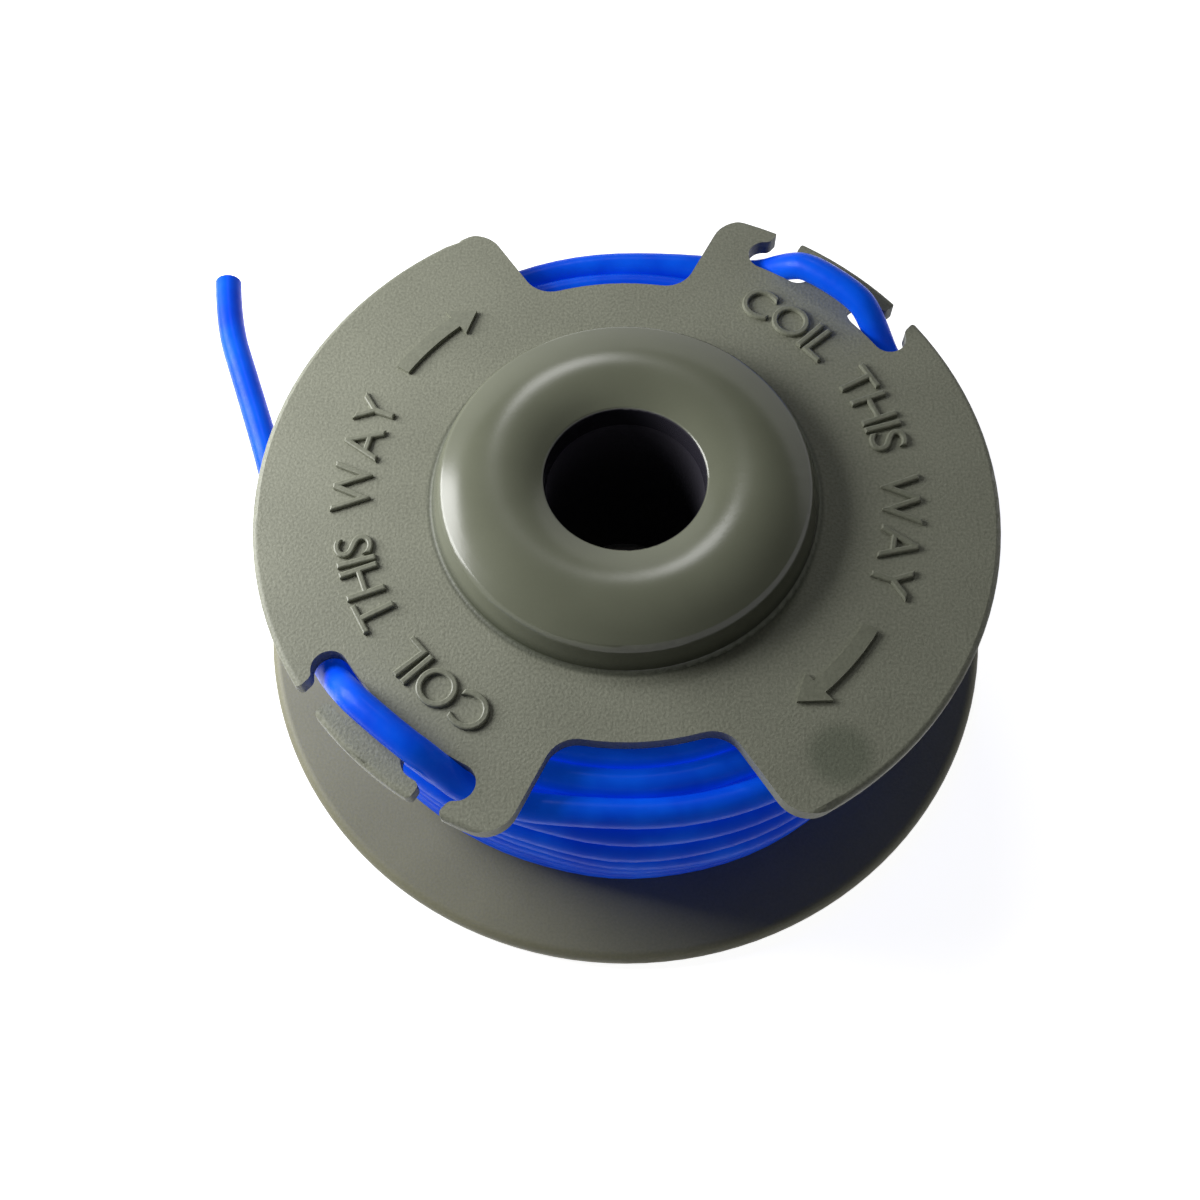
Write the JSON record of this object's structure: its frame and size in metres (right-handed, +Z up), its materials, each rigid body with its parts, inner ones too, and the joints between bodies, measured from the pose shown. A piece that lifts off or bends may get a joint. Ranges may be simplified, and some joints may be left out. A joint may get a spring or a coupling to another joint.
{
  "type": "trimmer line spool",
  "caption": "Moulded grass trimmer spool with a domed hub, notched top flange and hooked line slots, wound full of nylon cutting line.",
  "frame": {"origin": "centre of the flat underside that the spool stands on", "axes": "+Z up along the bore, towards the domed hub; the free line end leaves on the -X side"},
  "size_m": [0.0612, 0.0574, 0.0224],
  "materials": {
    "spool_plastic": "fine spark-eroded texture, olive grey",
    "cutting_line": "smooth, blue"
  },
  "bodies": {
    "root": {"spool_body": "spool_plastic", "line_winding": "cutting_line", "line_end_left": "cutting_line", "line_end_right": "cutting_line"}
  },
  "joints": []
}
